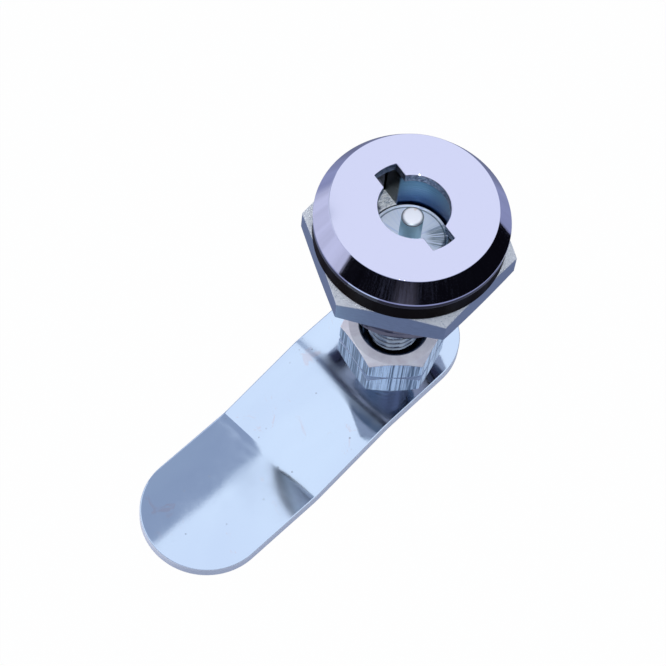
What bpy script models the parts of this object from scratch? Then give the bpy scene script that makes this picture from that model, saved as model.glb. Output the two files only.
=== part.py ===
"""Quarter-turn cam lock with a winged keyhole, a threaded barrel and an adjustable cranked cam.

The origin is on the lock's axis, in the plane where the panel is clamped behind the gasket.
+Z points out of the lock's face and the cam's arm points along -Y.
"""
import math

import bmesh
import bpy
from mathutils import Matrix, Vector

MM = 0.001
GAP = 0.3 * MM                 # between pieces that seat on each other
FIT = 0.2 * MM                 # round a small pin or ball in its hole

# Head and barrel
BARREL_RADIUS = 11.0 * MM
HEAD_LIP = 3.0 * MM            # from the barrel's side to the head's
CHAMFER_WIDTH = 2.0 * MM
CHAMFER_HEIGHT = 3.1 * MM
RIM_HEIGHT = 1.25 * MM
EDGE_BREAK = 0.25 * MM
FACE_PLATE = 1.6 * MM
BARREL_FLAT_DEPTH = 1.0 * MM
BARREL_WALL = 1.9 * MM
BARREL_CHAMFER = 0.6 * MM
GASKET_THICKNESS = 2.55 * MM
GASKET_INSET = 0.1 * MM         # in from the head's side

# Keyhole, with the key bits' wings turned from the cam's arm
KEYHOLE_RADIUS = 5.16 * MM
WING_REACH = 7.38 * MM
WING_WIDTH = 3.7 * MM
WING_DEG = -12.0

# Panel nut
PANEL_NUT_WALL = 2.5 * MM      # from the barrel's side to the nut's flats
PANEL_NUT_HEIGHT = 4.5 * MM
PANEL_NUT_CORNER_DEG = -87.7
PANEL_NUT_CORNER_DROP = 0.45 * MM

# Rotor, turned by the key
POCKET_UNDERCUT = 0.84 * MM    # from the keyhole's side to the pocket's
POCKET_DEPTH = 8.8 * MM        # from the lock's face to the spindle's disc
ROTOR_BASE = 5.05 * MM         # from the disc's seat to the rotor's rear face
SEAL_SECTION = 1.2 * MM
SLOT_WEB = 0.5 * MM
TURN_DEG = 90.0

# Spindle, a threaded rod with a turned disc on its front end
ROD_RADIUS = 4.0 * MM
ROD_END_DEPTH = 52.0 * MM      # from the lock's face
DISC_THICKNESS = 1.3 * MM
CENTRE_PIN_RADIUS = 1.6 * MM
CENTRE_PIN_DEPTH = 2.5 * MM    # its tip, from the lock's face
CENTRE_PIN_FOOT = 11.0 * MM
CROSS_PIN_RADIUS = 0.9 * MM
CROSS_PIN_DEG = 45.0

# Detents and stop, on the rotor's rear face
BALL_RADIUS = 1.0 * MM
BALL_PROUD = 0.65 * MM
BALL_WALL = 0.3 * MM           # between a ball's hole and the rod's hole
BALL_DEG = 0.0
SPRING_WIRE_RADIUS = 0.15 * MM
SPRING_TURNS = 3
STOP_PIN_RADIUS = 1.0 * MM
STOP_PIN_PROUD = 1.5 * MM
STOP_PIN_CIRCLE = 6.7 * MM
STOP_PIN_DEG = 135.0

# Rear cover and its circlip
COVER_THICKNESS = 1.9 * MM
COVER_TAB_WIDTH = 3.0 * MM
COVER_TAB_HEIGHT = 0.5 * MM
COVER_TAB_DEG = 77.0
CIRCLIP_THICKNESS = 0.8 * MM
CIRCLIP_RADIAL = 1.3 * MM
CIRCLIP_GROOVE = 0.6 * MM
CIRCLIP_OPEN_DEG = 34.0
CIRCLIP_LUG_RADIUS = 1.25 * MM

# Nuts, washers and cam on the rod
ROD_NUT_WALL = 3.0 * MM        # from the rod's side to the nuts' flats
UPPER_NUT_HEIGHT = 4.0 * MM
UPPER_NUT_CORNER_DEG = -73.8
LOWER_NUT_HEIGHT = 4.0 * MM
LOWER_NUT_CORNER_DEG = -30.0
ROD_NUT_CORNER_DROP = 0.7 * MM
UPPER_NUT_SINK = 1.15 * MM     # radial depth of the countersinks in each nut's mouths
LOWER_NUT_SINK = 0.5 * MM
PANEL_NUT_SINK = 0.4 * MM
CAM_TOP_DEPTH = 38.4 * MM      # from the lock's face to the cam's front
CAM_THICKNESS = 2.0 * MM
CAM_WIDTH = 19.5 * MM
CAM_REACH = 49.4 * MM          # from the axis to the arm's tip
CAM_HEEL = 10.8 * MM           # from the axis to the other end
CAM_CRANK_START = 11.0 * MM
CAM_CRANK_RUN = 15.0 * MM
CAM_CRANK_DROP = 3.1 * MM
CAM_TOE_DEG = 3.0              # the arm's end turns back towards the head
CAM_BEND_RADIUS = 12.0 * MM
BEND_STEPS = 6
WASHER_LIP = 3.5 * MM          # from the rod's side to the washer's
WASHER_THICKNESS = 1.2 * MM
LOCK_WASHER_LIP = 2.8 * MM
LOCK_WASHER_THICKNESS = 1.6 * MM
LOCK_WASHER_SLIT = 1.0 * MM

SINK_SLOPE = 0.8               # a countersink's depth over its radial depth

# Facets round a full turn
LARGE_ROUND = 64
SMALL_ROUND = 32
PIN_ROUND = 16
SECTION_ROUND = 8
SPRING_STEPS = 8                # points in a turn of a spring

# Radii, worked out from the sizes above
HEAD_RADIUS = BARREL_RADIUS + HEAD_LIP
FACE_RADIUS = HEAD_RADIUS - CHAMFER_WIDTH
GASKET_RADIUS = HEAD_RADIUS - GASKET_INSET
PANEL_NUT_ACROSS = 2 * (BARREL_RADIUS + PANEL_NUT_WALL)
BORE_RADIUS = BARREL_RADIUS - BARREL_WALL
ROTOR_RADIUS = BORE_RADIUS - GAP
POCKET_RADIUS = KEYHOLE_RADIUS + POCKET_UNDERCUT
SEAL_GROOVE_RADIUS = ROTOR_RADIUS - SEAL_SECTION - GAP
ROD_HOLE_RADIUS = ROD_RADIUS + GAP
ROD_NUT_ACROSS = 2 * (ROD_RADIUS + ROD_NUT_WALL)
BALL_CIRCLE = ROD_HOLE_RADIUS + BALL_WALL + FIT + BALL_RADIUS

# Heights, worked out from the sizes above: the panel plane is z = 0
FACE_Z = GASKET_THICKNESS + GAP + RIM_HEIGHT + CHAMFER_HEIGHT
HEAD_REAR_Z = FACE_Z - CHAMFER_HEIGHT - RIM_HEIGHT
ROTOR_FRONT_Z = FACE_Z - FACE_PLATE - GAP
POCKET_FLOOR_Z = FACE_Z - POCKET_DEPTH
SLOT_FLOOR_Z = POCKET_FLOOR_Z - GAP
DISC_SEAT_Z = POCKET_FLOOR_Z - DISC_THICKNESS - GAP
SEAL_GROOVE_TOP_Z = SLOT_FLOOR_Z - SLOT_WEB
SEAL_GROOVE_REAR_Z = SEAL_GROOVE_TOP_Z - SEAL_SECTION - 2 * FIT
HOLE_TOP_Z = SEAL_GROOVE_REAR_Z - 2 * GAP          # of the balls' and the stop pin's holes
ROTOR_REAR_Z = DISC_SEAT_Z - ROTOR_BASE
BALL_CENTRE_Z = ROTOR_REAR_Z - BALL_PROUD + BALL_RADIUS
COVER_FRONT_Z = ROTOR_REAR_Z - GAP
COVER_REAR_Z = COVER_FRONT_Z - COVER_THICKNESS
CIRCLIP_FRONT_Z = COVER_REAR_Z - GAP
CIRCLIP_REAR_Z = CIRCLIP_FRONT_Z - CIRCLIP_THICKNESS
BARREL_END_Z = CIRCLIP_REAR_Z - GAP
CAM_TOP_Z = FACE_Z - CAM_TOP_DEPTH
CAM_REAR_Z = CAM_TOP_Z - CAM_THICKNESS
WASHER_TOP_Z = CAM_REAR_Z - GAP
LOCK_WASHER_TOP_Z = WASHER_TOP_Z - WASHER_THICKNESS - GAP
LOWER_NUT_TOP_Z = LOCK_WASHER_TOP_Z - LOCK_WASHER_THICKNESS - GAP
ROD_END_Z = FACE_Z - ROD_END_DEPTH


# ---------------------------------------------------------------- scene and materials

def clear_scene():
    for old in list(bpy.data.objects):
        bpy.data.objects.remove(old, do_unlink=True)


def new_collection(name):
    collection = bpy.data.collections.new(name)
    bpy.context.scene.collection.children.link(collection)
    return collection


def material(name, colour, roughness, metallic):
    made = bpy.data.materials.new(name)
    made.use_nodes = True
    shader = made.node_tree.nodes["Principled BSDF"]
    shader.inputs["Base Color"].default_value = (*colour, 1.0)
    shader.inputs["Roughness"].default_value = roughness
    shader.inputs["Metallic"].default_value = metallic
    return made


# ---------------------------------------------------------------- shapes

def polar(radius, degrees):
    turn = math.radians(degrees)
    return Vector((radius * math.cos(turn), radius * math.sin(turn)))


def put(name, mesh, collection):
    made = bpy.data.objects.new(name, mesh)
    collection.objects.link(made)
    return made


def turned(name, profile, steps, collection):
    """A profile of (radius, height) points, down its outer side, swept round the Z axis."""
    ring = all(radius > 0 for radius, _ in profile)
    mesh = bpy.data.meshes.new(name)
    edges = [(i, i + 1) for i in range(len(profile) - 1)]
    if ring:
        edges.append((len(profile) - 1, 0))
    mesh.from_pydata([(radius, 0, height) for radius, height in profile], edges, [])
    made = put(name, mesh, collection)
    screw = made.modifiers.new("turn", "SCREW")
    screw.axis = "Z"
    screw.angle = math.tau
    screw.steps = steps
    screw.render_steps = steps
    screw.use_merge_vertices = True
    screw.merge_threshold = 0.00001
    return made


def ring_profile(inner, outer, low, high):
    return [(outer, high), (outer, low), (inner, low), (inner, high)]


def rod_profile(radius, low, high, chamfer=0.0):
    if not chamfer:
        return [(0, high), (radius, high), (radius, low), (0, low)]
    return [(0, high), (radius - chamfer, high), (radius, high - chamfer),
            (radius, low + chamfer), (radius - chamfer, low), (0, low)]


def prism(name, outline, low, high, collection):
    """A flat outline, extruded between two heights."""
    curve = bpy.data.curves.new(name, "CURVE")
    curve.dimensions = "2D"
    curve.fill_mode = "BOTH"
    curve.extrude = (high - low) / 2
    spline = curve.splines.new("POLY")
    spline.points.add(len(outline) - 1)
    for point, (x, y) in zip(spline.points, outline):
        point.co = (x, y, 0, 1)
    spline.use_cyclic_u = True
    return as_mesh(name, curve, Matrix.Translation((0, 0, (low + high) / 2)), collection)


def tube(name, path, radius, collection):
    """A round bar along a list of points, with filled ends."""
    curve = bpy.data.curves.new(name, "CURVE")
    curve.dimensions = "3D"
    curve.bevel_depth = radius
    curve.bevel_resolution = 2
    curve.use_fill_caps = True
    spline = curve.splines.new("POLY")
    spline.points.add(len(path) - 1)
    for point, place in zip(spline.points, path):
        point.co = (*place, 1)
    return as_mesh(name, curve, Matrix.Identity(4), collection)


def as_mesh(name, curve, matrix, collection):
    """Turn a curve into a closed mesh object with welded caps."""
    source = put(name, curve, collection)
    bpy.context.view_layer.update()
    depsgraph = bpy.context.evaluated_depsgraph_get()
    mesh = bpy.data.meshes.new_from_object(source.evaluated_get(depsgraph))
    bpy.data.objects.remove(source, do_unlink=True)
    bpy.data.curves.remove(curve)
    form = bmesh.new()
    form.from_mesh(mesh)
    bmesh.ops.remove_doubles(form, verts=form.verts, dist=0.000001)
    bmesh.ops.recalc_face_normals(form, faces=form.faces)
    form.to_mesh(mesh)
    form.free()
    mesh.transform(matrix)
    mesh.name = name
    return put(name, mesh, collection)


def arc(radius, start, end, steps):
    return [polar(radius, start + (end - start) * i / steps) for i in range(steps + 1)]


def sector(inner, outer, start, end, steps=24):
    """The outline of a piece of a ring between two angles."""
    return arc(outer, start, end, steps) + arc(inner, end, start, steps)


def bar_outline(near, far, width, degrees):
    """A rectangle that runs outward along a direction."""
    along = polar(1, degrees)
    across = Vector((-along.y, along.x)) * width / 2
    return [along * near - across, along * far - across, along * far + across, along * near + across]


def boolean(target, operand, operation="DIFFERENCE"):
    cut = target.modifiers.new(operand.name, "BOOLEAN")
    cut.operation = operation
    cut.object = operand
    cut.solver = "EXACT"
    operand.hide_render = True
    operand.display_type = "WIRE"


def finish(made, look, sharp=32):
    """Make the modifiers' result the object's own mesh, and give it its shading and finish."""
    bpy.context.view_layer.update()
    depsgraph = bpy.context.evaluated_depsgraph_get()
    mesh = bpy.data.meshes.new_from_object(made.evaluated_get(depsgraph))
    mesh.name = made.name
    made.modifiers.clear()
    made.data = mesh
    mesh.materials.clear()
    mesh.materials.append(look)
    mesh.shade_smooth()
    mesh.set_sharp_from_angle(angle=math.radians(sharp))
    return made


# ---------------------------------------------------------------- housing, gasket and panel nut

def build_housing(parts, cutters, look):
    rim_z = FACE_Z - CHAMFER_HEIGHT
    groove_radius = BORE_RADIUS + CIRCLIP_GROOVE
    profile = [
        (KEYHOLE_RADIUS, FACE_Z), (FACE_RADIUS, FACE_Z),
        (HEAD_RADIUS - EDGE_BREAK / 2, rim_z + EDGE_BREAK), (HEAD_RADIUS, rim_z),
        (HEAD_RADIUS, HEAD_REAR_Z + EDGE_BREAK), (HEAD_RADIUS - EDGE_BREAK, HEAD_REAR_Z),
        (BARREL_RADIUS, HEAD_REAR_Z), (BARREL_RADIUS, BARREL_END_Z + BARREL_CHAMFER),
        (BARREL_RADIUS - BARREL_CHAMFER, BARREL_END_Z), (BORE_RADIUS, BARREL_END_Z),
        (BORE_RADIUS, CIRCLIP_REAR_Z - FIT), (groove_radius, CIRCLIP_REAR_Z - FIT),
        (groove_radius, CIRCLIP_FRONT_Z + FIT), (BORE_RADIUS, CIRCLIP_FRONT_Z + FIT),
        (BORE_RADIUS, FACE_Z - FACE_PLATE), (KEYHOLE_RADIUS, FACE_Z - FACE_PLATE),
    ]
    housing = turned("housing", profile, LARGE_ROUND, parts)

    inside = (BARREL_RADIUS + BORE_RADIUS) / 2
    for side in (0, 180):
        flat = bar_outline(BARREL_RADIUS - BARREL_FLAT_DEPTH, HEAD_RADIUS, 2 * inside, WING_DEG + 90 + side)
        boolean(housing, prism(f"barrel_flat_{side}", flat, BARREL_END_Z - GAP,
                               HEAD_REAR_Z - GAP - GASKET_THICKNESS, cutters))

    wings = turned("keyhole_wings", rod_profile(WING_REACH, FACE_Z - FACE_PLATE - GAP, FACE_Z + GAP),
                   LARGE_ROUND, cutters)
    along = 2 * WING_REACH
    bar = prism("keyhole_bar", bar_outline(-along, along, WING_WIDTH, WING_DEG),
                FACE_Z - 2 * FACE_PLATE, FACE_Z + 2 * GAP, cutters)
    boolean(wings, bar, "INTERSECT")
    boolean(housing, wings)

    notch = bar_outline(0.7 * BORE_RADIUS, BORE_RADIUS + COVER_TAB_HEIGHT + FIT,
                        COVER_TAB_WIDTH + 2 * GAP, COVER_TAB_DEG)
    boolean(housing, prism("cover_notch", notch, BARREL_END_Z - GAP, COVER_FRONT_Z + GAP, cutters))
    return finish(housing, look)


def build_gasket(parts, look):
    gasket = turned("gasket", ring_profile(BARREL_RADIUS + GAP, GASKET_RADIUS, 0, GASKET_THICKNESS),
                    LARGE_ROUND, parts)
    return finish(gasket, look)


def build_hex_nut(name, across, height, top, hole, sink, corner, facets, groups, look):
    """A hexagon nut: a turned blank with chamfered corners and mouths, cut to a hexagon."""
    parts, cutters = groups
    corner_deg, corner_drop = corner
    corner_radius = across / 2 / math.cos(math.radians(30))
    face_radius = across / 2 - EDGE_BREAK / 2
    blank_radius = corner_radius + GAP
    drop = corner_drop * (blank_radius - face_radius) / (corner_radius - face_radius)
    low = top - height
    profile = [
        (hole + sink, top), (face_radius, top), (blank_radius, top - drop),
        (blank_radius, low + drop), (face_radius, low), (hole + sink, low),
        (hole, low + sink * SINK_SLOPE), (hole, top - sink * SINK_SLOPE),
    ]
    nut = turned(name, profile, facets, parts)
    hexagon = [polar(corner_radius, corner_deg + 60 * i) for i in range(6)]
    boolean(nut, prism(f"{name}_hexagon", hexagon, low - GAP, top + GAP, cutters), "INTERSECT")
    return finish(nut, look)


# ---------------------------------------------------------------- rotor and what it carries

def build_rotor(parts, cutters, look):
    edge = EDGE_BREAK
    profile = [
        (POCKET_RADIUS, ROTOR_FRONT_Z), (ROTOR_RADIUS - edge, ROTOR_FRONT_Z),
        (ROTOR_RADIUS, ROTOR_FRONT_Z - edge),
        (ROTOR_RADIUS, SEAL_GROOVE_TOP_Z), (SEAL_GROOVE_RADIUS, SEAL_GROOVE_TOP_Z),
        (SEAL_GROOVE_RADIUS, SEAL_GROOVE_REAR_Z), (ROTOR_RADIUS, SEAL_GROOVE_REAR_Z),
        (ROTOR_RADIUS, ROTOR_REAR_Z + edge), (ROTOR_RADIUS - edge, ROTOR_REAR_Z),
        (ROD_HOLE_RADIUS, ROTOR_REAR_Z), (ROD_HOLE_RADIUS, DISC_SEAT_Z), (POCKET_RADIUS, DISC_SEAT_Z),
    ]
    rotor = turned("rotor", profile, LARGE_ROUND, parts)
    past = ROTOR_RADIUS + 2 * GAP
    slot = bar_outline(-past, past, WING_WIDTH, WING_DEG)
    boolean(rotor, prism("bit_slot", slot, SLOT_FLOOR_Z, ROTOR_FRONT_Z + GAP, cutters))
    for label, degrees in detent_places():
        hole = turned(f"ball_hole_{label}", rod_profile(BALL_RADIUS + FIT, ROTOR_REAR_Z - GAP,
                                                        HOLE_TOP_Z), PIN_ROUND, cutters)
        hole.location = polar(BALL_CIRCLE, degrees).to_3d()
        boolean(rotor, hole)
    stop = turned("stop_hole", rod_profile(STOP_PIN_RADIUS + FIT, ROTOR_REAR_Z - GAP,
                                           HOLE_TOP_Z), PIN_ROUND, cutters)
    stop.location = polar(STOP_PIN_CIRCLE, STOP_PIN_DEG).to_3d()
    boolean(rotor, stop)
    boolean(rotor, cross_bar("cross_hole", CROSS_PIN_RADIUS + FIT, ROTOR_RADIUS + GAP, cutters))
    return finish(rotor, look)


def detent_places():
    return (("a", BALL_DEG), ("b", BALL_DEG + 180))


def cross_pin_z():
    return (DISC_SEAT_Z + ROTOR_REAR_Z) / 2 - GAP


def cross_bar(name, radius, half_length, collection):
    """A round bar across the lock's axis, through the rotor and the spindle."""
    bar = turned(name, rod_profile(radius, -half_length, half_length), PIN_ROUND, collection)
    turn = Matrix.Rotation(math.radians(CROSS_PIN_DEG), 4, "Z") @ Matrix.Rotation(math.pi / 2, 4, "Y")
    bar.matrix_world = Matrix.Translation((0, 0, cross_pin_z())) @ turn
    return bar


def build_rotor_seal(parts, look):
    centre = SEAL_GROOVE_RADIUS + GAP + SEAL_SECTION / 2
    middle = (SEAL_GROOVE_TOP_Z + SEAL_GROOVE_REAR_Z) / 2
    section = [polar(SEAL_SECTION / 2, -360 * i / SECTION_ROUND) for i in range(SECTION_ROUND)]
    profile = [(centre + point.x, middle + point.y) for point in section]
    return finish(turned("rotor_seal", profile, LARGE_ROUND, parts), look, sharp=180)


def build_spindle(parts, cutters, look):
    disc_radius = POCKET_RADIUS - GAP
    disc_rear = POCKET_FLOOR_Z - DISC_THICKNESS
    chamfer = 0.8 * MM
    profile = [
        (0, POCKET_FLOOR_Z), (disc_radius - EDGE_BREAK, POCKET_FLOOR_Z),
        (disc_radius, POCKET_FLOOR_Z - EDGE_BREAK), (disc_radius, disc_rear), (ROD_RADIUS, disc_rear),
        (ROD_RADIUS, ROD_END_Z + chamfer), (ROD_RADIUS - chamfer, ROD_END_Z), (0, ROD_END_Z),
    ]
    spindle = turned("spindle", profile, SMALL_ROUND, parts)
    foot = FACE_Z - CENTRE_PIN_FOOT - FIT
    boolean(spindle, turned("centre_pin_hole", rod_profile(CENTRE_PIN_RADIUS + FIT / 2, foot,
                                                           POCKET_FLOOR_Z + GAP), SMALL_ROUND, cutters))
    boolean(spindle, cross_bar("spindle_cross_hole", CROSS_PIN_RADIUS + FIT, ROD_RADIUS + GAP, cutters))
    return finish(spindle, look)


def build_pins(parts, steel):
    tip = FACE_Z - CENTRE_PIN_DEPTH
    foot = FACE_Z - CENTRE_PIN_FOOT
    centre = turned("centre_pin", rod_profile(CENTRE_PIN_RADIUS, foot, tip, chamfer=0.12 * MM),
                    SMALL_ROUND, parts)
    finish(centre, steel)
    finish(cross_bar("cross_pin", CROSS_PIN_RADIUS, ROTOR_RADIUS - GAP, parts), steel)
    stop = turned("stop_pin", rod_profile(STOP_PIN_RADIUS, ROTOR_REAR_Z - STOP_PIN_PROUD,
                                          HOLE_TOP_Z - GAP, chamfer=0.15 * MM), PIN_ROUND, parts)
    stop.location = polar(STOP_PIN_CIRCLE, STOP_PIN_DEG).to_3d()
    finish(stop, steel)


def build_detents(parts, steel):
    low = BALL_CENTRE_Z + BALL_RADIUS + FIT + SPRING_WIRE_RADIUS
    high = HOLE_TOP_Z - FIT - SPRING_WIRE_RADIUS
    coil = BALL_RADIUS - SPRING_WIRE_RADIUS
    steps = SPRING_STEPS * SPRING_TURNS
    for label, degrees in detent_places():
        place = polar(BALL_CIRCLE, degrees).to_3d()
        form = bmesh.new()
        bmesh.ops.create_uvsphere(form, u_segments=PIN_ROUND, v_segments=PIN_ROUND // 2,
                                  radius=BALL_RADIUS)
        mesh = bpy.data.meshes.new(f"detent_ball_{label}")
        form.to_mesh(mesh)
        form.free()
        ball = put(f"detent_ball_{label}", mesh, parts)
        ball.location = place + Vector((0, 0, BALL_CENTRE_Z))
        finish(ball, steel, sharp=180)
        path = []
        for i in range(steps + 1):
            share = i / steps
            around = polar(coil, 360 * SPRING_TURNS * share)
            path.append((around.x, around.y, low + (high - low) * share))
        spring = tube(f"detent_spring_{label}", path, SPRING_WIRE_RADIUS, parts)
        spring.location = place
        finish(spring, steel, sharp=60)


# ---------------------------------------------------------------- rear cover and circlip

def build_rear_cover(parts, cutters, look):
    cover_radius = BORE_RADIUS - GAP
    cover = turned("rear_cover", ring_profile(ROD_HOLE_RADIUS, cover_radius, COVER_REAR_Z, COVER_FRONT_Z),
                   LARGE_ROUND, parts)
    tab = bar_outline(cover_radius - 1.0 * MM, BORE_RADIUS + COVER_TAB_HEIGHT - FIT,
                      COVER_TAB_WIDTH, COVER_TAB_DEG)
    boolean(cover, prism("cover_tab", tab, COVER_REAR_Z + FIT, COVER_FRONT_Z - FIT, cutters), "UNION")

    for label, degrees in detent_places():
        path = [point.to_3d() + Vector((0, 0, BALL_CENTRE_Z))
                for point in arc(BALL_CIRCLE, degrees, degrees - TURN_DEG, 16)]
        boolean(cover, tube(f"ball_track_{label}", path, BALL_RADIUS + GAP, cutters))
        for end, angle in (("rest", degrees), ("turned", degrees - TURN_DEG)):
            form = bmesh.new()
            bmesh.ops.create_uvsphere(form, u_segments=PIN_ROUND, v_segments=PIN_ROUND // 2,
                                      radius=BALL_RADIUS + GAP + FIT)
            mesh = bpy.data.meshes.new(f"ball_dimple_{label}_{end}")
            form.to_mesh(mesh)
            form.free()
            dimple = put(mesh.name, mesh, cutters)
            dimple.location = polar(BALL_CIRCLE, angle).to_3d() + Vector((0, 0, BALL_CENTRE_Z))
            boolean(cover, dimple)

    half = STOP_PIN_RADIUS + GAP
    over = math.degrees(half / STOP_PIN_CIRCLE)
    track = sector(STOP_PIN_CIRCLE - half, STOP_PIN_CIRCLE + half,
                   STOP_PIN_DEG + over, STOP_PIN_DEG - TURN_DEG - over)
    floor = ROTOR_REAR_Z - STOP_PIN_PROUD - GAP
    boolean(cover, prism("stop_track", track, floor, COVER_FRONT_Z + GAP, cutters))
    return finish(cover, look)


def build_circlip(parts, cutters, look):
    outer = BORE_RADIUS + CIRCLIP_GROOVE - FIT
    inner = outer - CIRCLIP_RADIAL
    clip = turned("circlip", ring_profile(inner, outer, CIRCLIP_REAR_Z, CIRCLIP_FRONT_Z), LARGE_ROUND, parts)
    half_open = CIRCLIP_OPEN_DEG / 2
    middle = COVER_TAB_DEG + 180
    opening = sector(inner - GAP, outer + GAP, middle - half_open, middle + half_open)
    lug_circle = inner - CIRCLIP_LUG_RADIUS / 2
    lug_turn = half_open + math.degrees(CIRCLIP_LUG_RADIUS * 0.7 / lug_circle)
    boolean(clip, prism("circlip_opening", opening, CIRCLIP_REAR_Z - GAP, CIRCLIP_FRONT_Z + GAP, cutters))
    for label, degrees in (("left", middle - lug_turn), ("right", middle + lug_turn)):
        place = polar(lug_circle, degrees).to_3d()
        lug = turned(f"circlip_lug_{label}", rod_profile(CIRCLIP_LUG_RADIUS, CIRCLIP_REAR_Z + 0.05 * MM,
                                                         CIRCLIP_FRONT_Z - 0.05 * MM), PIN_ROUND, cutters)
        hole = turned(f"circlip_eye_{label}", rod_profile(CIRCLIP_LUG_RADIUS * 0.45, CIRCLIP_REAR_Z - GAP,
                                                          CIRCLIP_FRONT_Z + GAP), PIN_ROUND, cutters)
        lug.location = place
        hole.location = place
        boolean(clip, lug, "UNION")
        boolean(clip, hole)
    return finish(clip, look)


# ---------------------------------------------------------------- cam and its washers

def crank_path():
    """The arm's middle line as (distance, height, heading): level, down a ramp, then slightly up."""
    slope = math.atan2(CAM_CRANK_DROP, CAM_CRANK_RUN)
    toe = math.radians(CAM_TOE_DEG)
    overhang = 2 * MM
    first = Vector((CAM_CRANK_START, 0.0))
    second = Vector((CAM_CRANK_START + CAM_CRANK_RUN, -CAM_CRANK_DROP))
    points = [(-CAM_HEEL - overhang, 0.0, 0.0)]
    for knee, before, after in ((first, 0.0, -slope), (second, -slope, toe)):
        tangent = CAM_BEND_RADIUS * math.tan(abs(after - before) / 2)
        start = knee - tangent * Vector((math.cos(before), math.sin(before)))
        side = 1 if after > before else -1
        centre = start + side * CAM_BEND_RADIUS * Vector((-math.sin(before), math.cos(before)))
        for i in range(BEND_STEPS + 1):
            heading = before + (after - before) * i / BEND_STEPS
            spot = centre + side * CAM_BEND_RADIUS * Vector((math.sin(heading), -math.cos(heading)))
            points.append((spot.x, spot.y, heading))
    run = CAM_REACH + overhang - second.x
    points.append((second.x + run, second.y + run * math.tan(toe), toe))
    return points


def build_cam(parts, cutters, look):
    half = CAM_THICKNESS / 2
    middle = CAM_TOP_Z - half
    above = []
    below = []
    for distance, height, heading in crank_path():
        normal = Vector((-math.sin(heading), math.cos(heading))) * half
        above.append((distance + normal.x, middle + height + normal.y))
        below.append((distance - normal.x, middle + height - normal.y))
    strip = prism("cam", above + below[::-1], -CAM_WIDTH, CAM_WIDTH, parts)
    strip.data.transform(Matrix(((0, 0, 1, 0), (-1, 0, 0, 0), (0, 1, 0, 0), (0, 0, 0, 1))))
    strip.data.flip_normals()

    end_radius = CAM_WIDTH / 2
    outline = [Vector((0, -(CAM_REACH - end_radius))) + point for point in arc(end_radius, 180, 360, 24)]
    outline += [Vector((0, CAM_HEEL - end_radius)) + point for point in arc(end_radius, 0, 180, 24)]
    reach_z = CAM_CRANK_DROP + CAM_THICKNESS
    plan = prism("cam_outline", outline, CAM_REAR_Z - reach_z, CAM_TOP_Z + reach_z, cutters)
    boolean(strip, plan, "INTERSECT")
    boolean(strip, turned("cam_hole", rod_profile(ROD_HOLE_RADIUS, CAM_REAR_Z - GAP, CAM_TOP_Z + GAP),
                          SMALL_ROUND, cutters))
    return finish(strip, look)


def build_washers(parts, cutters, look):
    low = WASHER_TOP_Z - WASHER_THICKNESS
    finish(turned("cam_washer", ring_profile(ROD_HOLE_RADIUS, ROD_RADIUS + WASHER_LIP, low, WASHER_TOP_Z),
                  SMALL_ROUND, parts), look)
    low = LOCK_WASHER_TOP_Z - LOCK_WASHER_THICKNESS
    outer = ROD_RADIUS + LOCK_WASHER_LIP
    lock = turned("lock_washer", ring_profile(ROD_HOLE_RADIUS, outer, low, LOCK_WASHER_TOP_Z),
                  SMALL_ROUND, parts)
    slit = bar_outline(ROD_RADIUS - GAP, outer + GAP, LOCK_WASHER_SLIT, 0)
    boolean(lock, prism("lock_washer_slit", slit, low - GAP, LOCK_WASHER_TOP_Z + GAP, cutters))
    finish(lock, look)


def main():
    clear_scene()
    parts = new_collection("cam_lock")
    cutters = new_collection("cutters")
    groups = (parts, cutters)
    chrome = material("chrome", (0.78, 0.79, 0.84), 0.06, 1.0)
    rubber = material("black_rubber", (0.02, 0.018, 0.017), 0.6, 0.0)
    satin = material("satin_plate", (0.42, 0.47, 0.55), 0.34, 1.0)
    zinc = material("bright_zinc", (0.74, 0.80, 0.88), 0.18, 1.0)
    blue_zinc = material("blue_zinc", (0.20, 0.34, 0.46), 0.30, 1.0)
    steel = material("steel", (0.72, 0.74, 0.77), 0.22, 1.0)
    spring_steel = material("spring_steel", (0.12, 0.12, 0.13), 0.35, 1.0)

    build_housing(parts, cutters, chrome)
    build_gasket(parts, rubber)
    build_hex_nut("panel_nut", PANEL_NUT_ACROSS, PANEL_NUT_HEIGHT, -GAP, BARREL_RADIUS + GAP,
                  PANEL_NUT_SINK, (PANEL_NUT_CORNER_DEG, PANEL_NUT_CORNER_DROP), LARGE_ROUND, groups, satin)
    build_rotor(parts, cutters, blue_zinc)
    build_rotor_seal(parts, rubber)
    build_spindle(parts, cutters, zinc)
    build_pins(parts, steel)
    build_detents(parts, spring_steel)
    build_rear_cover(parts, cutters, zinc)
    build_circlip(parts, cutters, spring_steel)
    build_hex_nut("upper_nut", ROD_NUT_ACROSS, UPPER_NUT_HEIGHT, CAM_TOP_Z + GAP + UPPER_NUT_HEIGHT,
                  ROD_HOLE_RADIUS, UPPER_NUT_SINK, (UPPER_NUT_CORNER_DEG, ROD_NUT_CORNER_DROP),
                  SMALL_ROUND, groups, zinc)
    build_cam(parts, cutters, zinc)
    build_washers(parts, cutters, zinc)
    build_hex_nut("lower_nut", ROD_NUT_ACROSS, LOWER_NUT_HEIGHT, LOWER_NUT_TOP_Z, ROD_HOLE_RADIUS,
                  LOWER_NUT_SINK, (LOWER_NUT_CORNER_DEG, ROD_NUT_CORNER_DROP), SMALL_ROUND, groups, zinc)


main()
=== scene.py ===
"""Dresses a packed cam lock: smooth shells, cut threads, plated finishes, a floor and studio light.

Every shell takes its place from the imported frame, in metres, with the lock's axis on +Z.
"""
from math import asin, atan2, cos, pi, radians, sin, sqrt, tan

import bmesh
import bpy
from bpy.types import Operator, Panel, PropertyGroup
from mathutils import Matrix, Vector


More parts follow.
